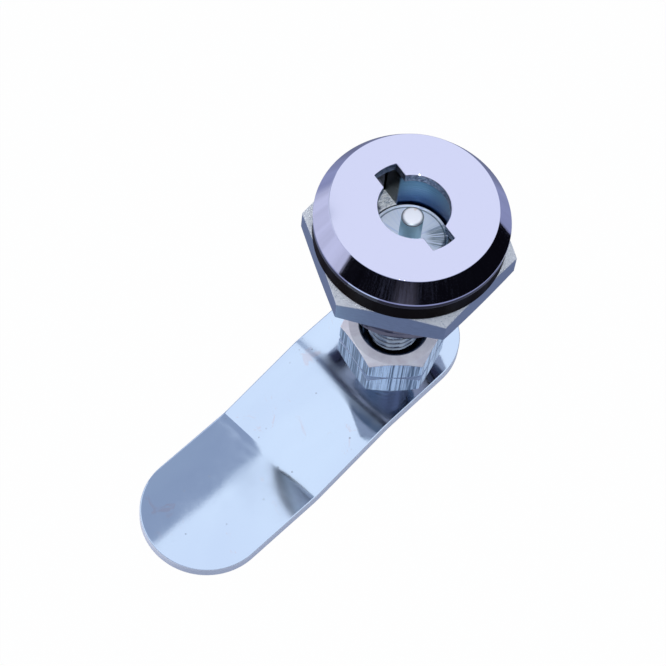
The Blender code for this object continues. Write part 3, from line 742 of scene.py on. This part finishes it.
def look(name):
    return bpy.data.materials.get(f"{name}_finish") or MAKERS[name]()


# ------------ head and barrel

BARREL_WALL = 1.9 * MM
BARREL_CHAMFER = 0.6 * MM
FACE_PLATE = 1.6 * MM  # thickness of the head over the rotor
FACE_SUPPORT = 8.2 * MM  # radius of a ring of points outside the keyhole
TIP_STEPS, WALL_STEPS = 12, 8  # points along half of a wing's end, and along its side


def arc(radius, start, span, steps, z):
    return [polar(radius, start + span * i / steps, z) for i in range(steps)]


def straight(first, last, steps):
    return [first.lerp(last, i / steps) for i in range(steps)]


def keyhole_outline(grow, z, steps):
    """The keyhole's edge, moved outward by a small amount, starting in the middle of one wing's end."""
    size = sizes()
    radius = size.keyhole_radius + grow
    out = size.wing_reach + grow
    half = size.wing_width / 2 + grow
    tip = asin(half / out)
    root = asin(half / radius)
    arc_steps = steps // 2 - 2 * TIP_STEPS - 2 * WALL_STEPS
    points = []
    for side in (0.0, pi):
        start = size.wing_angle + side
        end = start + pi
        points += arc(out, start, tip, TIP_STEPS, z)
        points += straight(polar(out, start + tip, z), polar(radius, start + root, z), WALL_STEPS)
        points += arc(radius, start + root, pi - 2 * root, arc_steps, z)
        points += straight(polar(radius, end - root, z), polar(out, end - tip, z), WALL_STEPS)
        points += arc(out, end - tip, tip, TIP_STEPS, z)
    shift = round(size.wing_angle / TURN * steps) % steps
    return points[-shift:] + points[:-shift] if shift else points


def build_head():
    size = sizes()
    face_z = high("housing")
    head = reach("housing")
    barrel = head - HEAD_LIP
    bore = barrel - BARREL_WALL
    soft = size.edge_round
    rim_z = face_z - size.chamfer_height
    rear_z = rim_z - size.rim_height
    end_z = low("housing")
    outer = fillet([(FACE_SUPPORT, face_z), (head - size.chamfer_width, face_z), (head, rim_z),
                    (head, rear_z), (barrel + 0.4 * MM, rear_z)], 0.16 * MM, 5)
    outer.append(Vector((barrel, rear_z - 0.15 * MM)))
    edge = ((soft + SUPPORT, 0.0), (soft, 0.0), (0.5 * soft, 0.13 * soft), (0.13 * soft, 0.5 * soft),
            (0.0, soft), (0.0, soft + SUPPORT), (0.0, FACE_PLATE))
    keyhole = [keyhole_outline(grow, face_z - drop, ROUND) for grow, drop in edge]
    upper = keyhole[::-1] + [circle(r, z) for r, z in outer]
    flat_reach = barrel - 1.0 * MM
    foot = []
    for i in range(ROUND):
        turn = TURN * i / ROUND
        facing = max(abs(cos(turn - size.wing_angle - pi / 2)), 0.01)
        foot.append(polar(min(barrel - BARREL_CHAMFER, flat_reach / facing), turn, end_z))
    groove = bore + 0.6 * MM
    clip_top, clip_low = high("circlip") + 0.1 * MM, low("circlip") - 0.1 * MM
    inner = [(bore + 0.15 * MM, end_z), (bore, end_z + 0.15 * MM), (bore, clip_low), (groove, clip_low),
             (groove, clip_top), (bore, clip_top), (bore, face_z - FACE_PLATE),
             (FACE_SUPPORT, face_z - FACE_PLATE)]
    lower = [foot] + [circle(r, z) for r, z in inner] + [keyhole[-1]]
    band = thread_band("chrome", ROUND, Low=low("housing"), High=upper[-1][0].z, Radius=barrel,
                       Depth=0.6 * size.barrel_pitch, Pitch=size.barrel_pitch,
                       Run_Out=0.7 * MM, End_Chamfer=BARREL_CHAMFER, Flat_Reach=flat_reach,
                       Flat_Angle=size.wing_angle + pi / 2, Flat_Top=-0.2 * MM)
    mesh = joined("head", skin("upper", upper, closed=False), band, skin("lower", lower, closed=False))
    place("head_and_barrel", mesh, "lock_body", "housing", "chrome")


def build_gasket():
    outer = reach("gasket")
    inner = outer - 2.85 * MM
    top = high("gasket") + 0.27 * MM
    foot = low("gasket") - 0.27 * MM
    profile = fillet([(outer, top), (outer - 0.06 * MM, (top + foot) / 2), (outer, foot), (inner, foot),
                      (inner, top)], 0.3 * MM, 5, closed=True)
    place("gasket_ring", lathe("gasket", profile), "lock_body", "gasket", "rubber")


# ------------ nuts and washers

HEX_CORNER = 0.25 * MM  # radius of a nut's corners
HEX_SIDE_STEPS, HEX_CORNER_STEPS = 26, 8
PANEL_NUT_ACROSS, PANEL_NUT_TURN = 27.0 * MM, radians(-87.7)
ROD_NUT_ACROSS = 14.0 * MM
ROD_NUTS = (  # node, turn in degrees, width of the sunk ring, how far it stands lower
    ("upper_nut", -73.8, 1.15, 0.28),
    ("lower_nut", -30.0, 0.5, 0.0),
)


def hex_points(across, turn):
    """A hexagon's edge, with its corners slightly rounded."""
    inner = (across / 2 - HEX_CORNER) / cos(pi / 6)
    points = []
    for side in range(6):
        middle = turn + side * TURN / 6
        pivot = polar(inner, middle)
        for k in range(HEX_CORNER_STEPS):
            bend = -pi / 6 + (pi / 3) * k / HEX_CORNER_STEPS
            points.append(pivot + polar(HEX_CORNER, middle + bend))
        first = pivot + polar(HEX_CORNER, middle + pi / 6)
        last = polar(inner, middle + TURN / 6) + polar(HEX_CORNER, middle + pi / 6)
        points += straight(first, last, HEX_SIDE_STEPS)
    return points


def nut_mesh(name, across, turn, top, foot, hole, sink, slope):
    """A hexagon nut whose corners are turned back to a cone at both ends."""
    edge = hex_points(across, turn)
    face = across / 2 - 0.12 * MM
    soft = 0.07 * MM

    def ring(radius, z):
        return [point.normalized() * radius + Vector((0, 0, z)) for point in edge]

    def outline(inset, z, side):
        made = []
        for point in edge:
            out = point.length - inset
            drop = max(0.0, out - face) * slope
            made.append(point.normalized() * out + Vector((0, 0, z - side * drop)))
        return made

    def shoulder(z, side):
        made = []
        for point in edge:
            drop = max(0.0, point.length - face) * slope
            made.append(point + Vector((0, 0, z - side * (drop + soft))))
        return made

    rings = [ring(hole, top - sink * 0.8), ring(hole + sink, top), ring(face - 0.02 * MM, top),
             outline(soft, top, 1), shoulder(top, 1), shoulder(foot, -1), outline(soft, foot, -1),
             ring(face - 0.02 * MM, foot), ring(hole + sink, foot), ring(hole, foot + sink * 0.8)]
    return skin(name, rings)


def build_panel_nut():
    hole = reach("housing") - HEAD_LIP + 0.06 * MM
    mesh = nut_mesh("nut", PANEL_NUT_ACROSS, PANEL_NUT_TURN, high("panel_nut"), low("panel_nut"), hole,
                    0.4 * MM, 0.24)
    place("panel_nut_hex", mesh, "panel_nut", "panel_nut", "satin_plate", 10)


def build_rod_nuts():
    for node, turn, sink, below in ROD_NUTS:
        mesh = nut_mesh(node, ROD_NUT_ACROSS, radians(turn), high(node), low(node) - below * MM,
                        4.06 * MM, sink * MM, 0.62)
        place(f"{node}_hex", mesh, "cam_stack", node, "bright_zinc", 10)


def build_washers():
    top, foot = high("cam_washer") + 0.28 * MM, low("cam_washer")
    outer = 7.5 * MM
    profile = fillet([(outer, top), (outer, foot), (ROD_HOLE, foot), (ROD_HOLE, top)], 0.16 * MM, 4,
                     closed=True)
    place("cam_washer_ring", lathe("washer", profile, SMALL_ROUND), "cam_stack", "cam_washer", "bright_zinc")
    mesh = softened(cad_copy("lock_washer"), 0.12 * MM, segments=3)
    place("lock_washer_ring", mesh, "cam_stack", "lock_washer", "bright_zinc", 40)


# ------------ rotor, spindle and pins

def slot_cutter(top, foot):
    """A long bar across the axis, along the keyhole's wings."""
    size = sizes()
    half = size.wing_width / 2
    form = bmesh.new()
    bmesh.ops.create_cube(form, size=1.0)
    stretch = Matrix.Diagonal((0.03, 2 * half, top - foot, 1.0))
    shift = Matrix.Translation((0, 0, (top + foot) / 2))
    form.transform(Matrix.Rotation(size.wing_angle, 4, "Z") @ shift @ stretch)
    return mesh_of("slot", form)


def build_rotor():
    outer = reach("rotor")
    top, foot = high("rotor"), low("rotor")
    pocket = reach("spindle") + 0.3 * MM
    seat = high("spindle") - 1.6 * MM
    groove_top, groove_low = high("rotor_seal") + 0.2 * MM, low("rotor_seal") - 0.2 * MM
    groove = outer - 1.5 * MM
    profile = fillet([(outer, top), (outer, groove_top), (groove, groove_top), (groove, groove_low),
                      (outer, groove_low), (outer, foot), (ROD_HOLE, foot), (ROD_HOLE, seat), (pocket, seat),
                      (pocket, top)], 0.12 * MM, 3, closed=True)
    mesh = cut(lathe("rotor", profile), slot_cutter(top + 1 * MM, high("spindle") - 0.3 * MM))
    place("rotor_drum", mesh, "rotor", "rotor", "blue_zinc")


def build_spindle():
    size = sizes()
    disc = reach("spindle")
    top, foot = high("spindle"), low("spindle")
    rod = 4.0 * MM
    rear = top - 1.3 * MM
    band_top = low("housing") - 1.2 * MM
    pin_hole = 1.68 * MM
    upper = fillet([(pin_hole, top - 1.2 * MM), (pin_hole, top), (disc - 0.62 * MM, top),
                    (disc - 0.55 * MM, top - 0.07 * MM), (disc - 0.40 * MM, top - 0.07 * MM),
                    (disc - 0.34 * MM, top), (disc, top), (disc, rear), (rod, rear), (rod, band_top)],
                   0.05 * MM, 3)
    upper_mesh = skin("upper", [circle(r, z, SMALL_ROUND) for r, z in upper], closed=False,
                      caps=(True, False))
    chamfer = 0.7 * MM
    band = thread_band("rod_zinc", SMALL_ROUND, Low=foot, High=band_top, Radius=rod,
                       Depth=0.6 * size.rod_pitch, Pitch=size.rod_pitch,
                       Run_Out=0.6 * MM, End_Chamfer=chamfer, Flat_Reach=1.0, Flat_Angle=0.0,
                       Flat_Top=0.0)
    end = skin("end", [circle(rod - chamfer, foot, SMALL_ROUND), circle(0.5 * rod, foot, SMALL_ROUND)],
               closed=False, caps=(False, True))
    mesh = joined("spindle", upper_mesh, band, end)
    place("threaded_spindle", mesh, "rotor", "spindle", "bright_zinc", 40, "rod_zinc")


def build_centre_pin():
    radius = reach("centre_pin")
    top, foot = high("centre_pin"), low("centre_pin")
    dome = [(radius * sin(t), top - 0.1 * MM * (1 - cos(t)) / (1 - cos(1.2)))
            for t in (0.3, 0.6, 0.9, 1.1, 1.2)]
    dome = [(r * 0.93, z) for r, z in dome]
    profile = [(0, top)] + dome + [(radius * 0.985, top - 0.2 * MM), (radius, top - 0.32 * MM),
                                   (radius, foot), (0, foot)]
    mesh = lathe("pin", profile, 64, closed=False)
    place("centre_pin_tip", mesh, "rotor", "centre_pin", "pin_steel", 50)


# ------------ cam

CRANK_START = 11.0 * MM  # along the arm, where it turns down
CRANK_RUN = 15.0 * MM
CRANK_DROP = 3.0 * MM
TOE = radians(2.5)
BEND = 7.0 * MM


def crank_height(along):
    """How far the arm's middle line lies above its level part."""
    slope = atan2(CRANK_DROP, CRANK_RUN)
    first = BEND * tan(slope / 2)
    second = BEND * tan((slope + TOE) / 2)
    knee = CRANK_START + CRANK_RUN
    if along < CRANK_START - first:
        return 0.0
    if along < CRANK_START + first * cos(slope):
        gone = along - (CRANK_START - first)
        return sqrt(BEND ** 2 - gone ** 2) - BEND
    start = knee - second * cos(slope)
    if along < start:
        return -(along - CRANK_START) * tan(slope)
    if along < knee + second * cos(TOE):
        centre_along = start + BEND * sin(slope)
        centre_up = -(start - CRANK_START) * tan(slope) + BEND * cos(slope)
        return centre_up - sqrt(BEND ** 2 - (along - centre_along) ** 2)
    return -CRANK_DROP + (along - knee) * tan(TOE)


def cam_edge(radius, tip, heel, rows, arc_steps):
    """One side of the cam's outline from heel to tip, as (x, y, outward x, outward y)."""
    points = []

    def end_arc(middle, turns):
        for turn in turns:
            out = Vector((cos(turn), sin(turn)))
            points.append((out.x * radius, middle + out.y * radius, out.x, out.y))

    start, end = heel - radius, tip + radius
    end_arc(start, [pi / 2 * (1 - i / arc_steps) for i in range(arc_steps + 1)])
    points += [(radius, start + (end - start) * i / rows, 1.0, 0.0) for i in range(1, rows)]
    end_arc(end, [-pi / 2 * i / arc_steps for i in range(arc_steps + 1)])
    return points


def build_cam():
    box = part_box("cam")
    half = 1.0 * MM
    middle = high("cam") - half
    side = cam_edge(reach("cam"), box[REAR].y, box[FRONT].y, 72, 28)
    soft = 0.22 * MM
    section = [(soft + SUPPORT, half), (soft, half)]
    for bend in (pi / 6, pi / 3, pi / 2):
        section.append((soft * (1 - sin(bend)), half - soft * (1 - cos(bend))))
    section += [(inset, -z) for inset, z in reversed(section)]
    form = bmesh.new()
    levels = []
    for inset, z in section:
        right = [form.verts.new((x - inset * nx, y - inset * ny, z)) for x, y, nx, ny in side]
        left = [form.verts.new((-(x - inset * nx), y - inset * ny, z)) for x, y, nx, ny in side[1:-1]]
        levels.append((right, left))
    loops = [right + left[::-1] for right, left in levels]
    for first, second in zip(loops, loops[1:]):
        join_rows(form, first, second)
    for right, left in (levels[0], levels[-1]):
        left = [right[0]] + left + [right[-1]]
        for i in range(len(right) - 1):
            corners = [right[i], right[i + 1], left[i + 1], left[i]]
            form.faces.new([v for k, v in enumerate(corners) if v not in corners[:k]])
    drill = [(0, half * 2), (ROD_HOLE, half * 2), (ROD_HOLE, -half * 2), (0, -half * 2)]
    mesh = cut(mesh_of("cam", form), lathe("hole", drill, SMALL_ROUND, closed=False))
    for vertex in mesh.vertices:
        vertex.co.z += middle + crank_height(-vertex.co.y)
    place("cam_arm", mesh, "cam_stack", "cam", "cam_zinc", 40)


# ------------ rear pieces and detents

SMALL_PIECES = (
    ("rear_cover", "lock_body", "bright_zinc", 0.12, 30),
    ("circlip", "lock_body", "spring_steel", 0.10, 30),
    ("rotor_seal", "rotor", "rubber", 0.0, 180),
    ("cross_pin", "rotor", "pin_steel", 0.12, 40),
    ("stop_pin", "rotor", "pin_steel", 0.04, 40),
    ("detent_spring_a", "rotor", "spring_steel", 0.0, 60),
    ("detent_spring_b", "rotor", "spring_steel", 0.0, 60),
    ("detent_ball_a", "detent_a", "spring_steel", 0.0, 180),
    ("detent_ball_b", "detent_b", "spring_steel", 0.0, 180),
)


def build_small_pieces():
    for node, body, slot, edge, sharp in SMALL_PIECES:
        mesh = cad_copy(node)
        if edge:
            mesh = softened(mesh, edge * MM)
        place(f"{node}_piece", mesh, body, node, slot, sharp)


# ------------ floor, light and camera

CAMERA_PLACE = Vector((0.1046, -0.1508, 0.3029))
CAMERA_RIGHT = Vector((0.717, 0.694, 0.062))
CAMERA_DOWN = Vector((0.633, -0.611, -0.476))
CAMERA_LENS = 135.135
FLOOR_DROP = 0.22  # from the rod's end down to the floor


def build_camera():
    settings = {"lens": CAMERA_LENS, "sensor_width": 36.0, "clip_start": 0.01, "clip_end": 10.0}
    camera = link("view", given(bpy.data.cameras.new("view"), settings))
    right = CAMERA_RIGHT.normalized()
    up = (-CAMERA_DOWN - right * (-CAMERA_DOWN).dot(right)).normalized()
    stand = Matrix((right, up, right.cross(up))).transposed().to_4x4()
    camera.matrix_world = Matrix.Translation(CAMERA_PLACE) @ stand
    bpy.context.scene.camera = camera


def build_floor():
    form = bmesh.new()
    bmesh.ops.create_grid(form, x_segments=8, y_segments=8, size=3.0)
    form.transform(Matrix.Translation((0, 0, low("spindle") - FLOOR_DROP)))
    mesh = mesh_of("floor", form)
    f = Finish("floor", metallic=0.0)
    g = f.g
    grain = g.noise(f.here, 14.0, 3.0)
    f.set(Base_Color=g.mix(grain, scaled(colours().floor), scaled(colours().floor, 0.985)), Roughness=0.8)
    seen = g.add("ShaderNodeLightPath").outputs["Is Camera Ray"]
    glow = g.add("ShaderNodeEmission", {"Color": (1, 1, 1, 1), "Strength": 1.0})
    both = g.add("ShaderNodeMixShader", {0: g.times(seen, 0.985), 1: f.shader.outputs[0],
                                         2: glow.outputs[0]})
    out = f.material.node_tree.nodes["Material Output"]
    g.tree.links.new(both.outputs[0], out.inputs["Surface"])
    mesh.materials.append(f.material)
    floor = link("floor", mesh)
    floor.visible_glossy = False





def build_world():
    """A pale room: dark low down in front of the lock, brighter on its left, slate under it."""
    world = bpy.data.worlds.new("studio")
    world.use_nodes = True
    bpy.context.scene.world = world
    g = Graph(world.node_tree)
    x, y, z = g.split(g.add("ShaderNodeTexCoord").outputs["Generated"])
    level = g.vector("NORMALIZE", g.xyz(x, y, 0.0))
    front, left, behind, middle = (g.vector("DOT_PRODUCT", level, polar(1.0, radians(heading)))
                                   for heading in (-22, -146, 128, -50))
    low_down = g.times(g.step(z, 0.16, 0.12), g.step(z, -0.47, -0.42))
    room = g.mix(g.step(z, -0.1, 0.5), (0.29, 0.33, 0.52), (0.31, 0.37, 0.51))
    room = g.mix(g.times(g.step(behind, 0.80, 0.97), g.step(z, -0.5, -0.7)), room,
                 (0.17, 0.19, 0.30))
    room = g.mix(g.times(g.step(left, 0.70, 0.86), low_down), room, (0.62, 0.67, 0.84))
    streak = g.times(g.step(middle, 0.975, 0.998), g.step(z, 0.11, 0.05))
    dark = g.mix(streak, (0.003, 0.003, 0.005), (0.15, 0.15, 0.19))
    room = g.mix(g.times(g.step(front, -0.035, -0.005), low_down), room, dark)
    seen = g.add("ShaderNodeLightPath").outputs["Is Camera Ray"]
    shown = g.mix(seen, room, (1, 1, 1))
    g.feed(shown, world.node_tree.nodes["Background"].inputs["Color"])


def lamp(name, kind, place_at, towards, **settings):
    """A light aimed at a point."""
    light = link(name, given(bpy.data.lights.new(name, kind), settings))
    light.location = place_at
    light.rotation_mode = "QUATERNION"
    light.rotation_quaternion = (towards - light.location).to_track_quat("-Z", "Y")
    return light


def panel_light(name, place_at, towards, width, depth, radiance, tint):
    """A soft panel whose brightness doesn't change with its size."""
    light = lamp(name, "AREA", place_at, towards, shape="RECTANGLE", size=width, size_y=depth,
                 energy=radiance * pi * width * depth, color=tint)
    light.visible_camera = False
    return light


LEFT_FILL_PLACE = Vector((-0.222, -0.186, 0.070))
KEYHOLE_LAMP_PLACE = Vector((0.045, -0.065, 0.32))
PANEL_HEIGHT = 0.15
PANEL_RADIANCE = 0.5
PANELS = (  # low x, high x, low y, high y: they leave a gap that the cam's toe mirrors
    ("back_panel", -0.30, 0.20, 0.0592, 0.45),
    ("near_panel", -0.0608, 0.20, -0.15, 0.0592),
    ("side_panel", -0.30, -0.0608, -0.15, 0.0225),
)


def build_lights():
    for name, x_low, x_high, y_low, y_high in PANELS:
        centre = Vector(((x_low + x_high) / 2, (y_low + y_high) / 2, PANEL_HEIGHT))
        panel_light(name, centre, centre - Vector((0, 0, 1)), x_high - x_low, y_high - y_low,
                    PANEL_RADIANCE, (0.98, 1.0, 0.98))
    nut_foot = Vector((0, 0, low("upper_nut")))
    fill = panel_light("left_fill", LEFT_FILL_PLACE, nut_foot, 0.10, 0.10, 8.0, (1.0, 0.97, 0.96))
    fill.visible_glossy = False
    lamp("keyhole_lamp", "SPOT", KEYHOLE_LAMP_PLACE, Vector((0, 0, high("housing"))), energy=6.0,
         spot_size=radians(2.7), spot_blend=0.6, shadow_soft_size=0.01, color=(0.92, 0.97, 1.0))


# ------------ operators

class CAMLOCK_OT_head(Operator):
    """Build the plated head and the threaded barrel"""
    bl_idname = "camlock.head"
    bl_label = "Head and barrel"

    def execute(self, context):
        build_head()
        return {"FINISHED"}


class CAMLOCK_OT_gasket(Operator):
    """Build the rubber gasket under the head"""
    bl_idname = "camlock.gasket"
    bl_label = "Gasket"

    def execute(self, context):
        build_gasket()
        return {"FINISHED"}


class CAMLOCK_OT_nuts(Operator):
    """Build the panel nut and the two rod nuts"""
    bl_idname = "camlock.nuts"
    bl_label = "Nuts"

    def execute(self, context):
        build_panel_nut()
        build_rod_nuts()
        return {"FINISHED"}


class CAMLOCK_OT_washers(Operator):
    """Build the flat washer and the split washer"""
    bl_idname = "camlock.washers"
    bl_label = "Washers"

    def execute(self, context):
        build_washers()
        return {"FINISHED"}


class CAMLOCK_OT_rotor(Operator):
    """Build the slotted rotor"""
    bl_idname = "camlock.rotor"
    bl_label = "Rotor"

    def execute(self, context):
        build_rotor()
        return {"FINISHED"}


class CAMLOCK_OT_spindle(Operator):
    """Build the threaded spindle and its centre pin"""
    bl_idname = "camlock.spindle"
    bl_label = "Spindle"

    def execute(self, context):
        build_spindle()
        build_centre_pin()
        return {"FINISHED"}


class CAMLOCK_OT_cam(Operator):
    """Build the cranked cam"""
    bl_idname = "camlock.cam"
    bl_label = "Cam"

    def execute(self, context):
        build_cam()
        return {"FINISHED"}


class CAMLOCK_OT_small_pieces(Operator):
    """Build the rear cover, the circlip, the seal, the pins, the springs and the balls"""
    bl_idname = "camlock.small_pieces"
    bl_label = "Small pieces"

    def execute(self, context):
        build_small_pieces()
        return {"FINISHED"}


class CAMLOCK_OT_stage(Operator):
    """Set up the floor, the room, the lights and the camera"""
    bl_idname = "camlock.stage"
    bl_label = "Stage"

    def execute(self, context):
        build_camera()
        build_floor()
        build_world()
        build_lights()
        bpy.context.scene.view_settings.view_transform = "Standard"
        return {"FINISHED"}


OPERATORS = (CAMLOCK_OT_stage, CAMLOCK_OT_head, CAMLOCK_OT_gasket, CAMLOCK_OT_nuts, CAMLOCK_OT_washers,
             CAMLOCK_OT_rotor, CAMLOCK_OT_spindle, CAMLOCK_OT_cam, CAMLOCK_OT_small_pieces)


class CAMLOCK_PT_panel(Panel):
    """Lists the lock's operators, sizes and colours"""
    bl_idname = "CAMLOCK_PT_panel"
    bl_label = "Cam lock"
    bl_space_type = "VIEW_3D"
    bl_region_type = "UI"
    bl_category = "Cam lock"

    def draw(self, context):
        column = self.layout.column()
        for operator in OPERATORS:
            column.operator(operator.bl_idname)
        for group in (context.scene.cam_lock_sizes, context.scene.cam_lock_colours):
            for name in group.__annotations__:
                column.prop(group, name)


CLASSES = (CamLockSizes, CamLockColours, *OPERATORS, CAMLOCK_PT_panel)


def register():
    for item in CLASSES:
        bpy.utils.register_class(item)
    bpy.types.Scene.cam_lock_sizes = bpy.props.PointerProperty(type=CamLockSizes)
    bpy.types.Scene.cam_lock_colours = bpy.props.PointerProperty(type=CamLockColours)


def unregister():
    del bpy.types.Scene.cam_lock_colours
    del bpy.types.Scene.cam_lock_sizes
    for item in reversed(CLASSES):
        bpy.utils.unregister_class(item)


def clear_defaults():
    """Remove what a new file holds, apart from the frame."""
    for name in ("Cube", "Light", "Camera"):
        old = bpy.data.objects.get(name)
        if old:
            bpy.data.objects.remove(old, do_unlink=True)


def main():
    register()
    clear_defaults()
    for operator in OPERATORS:
        group, name = operator.bl_idname.split(".")
        getattr(getattr(bpy.ops, group), name)()


if __name__ == "__main__":
    main()
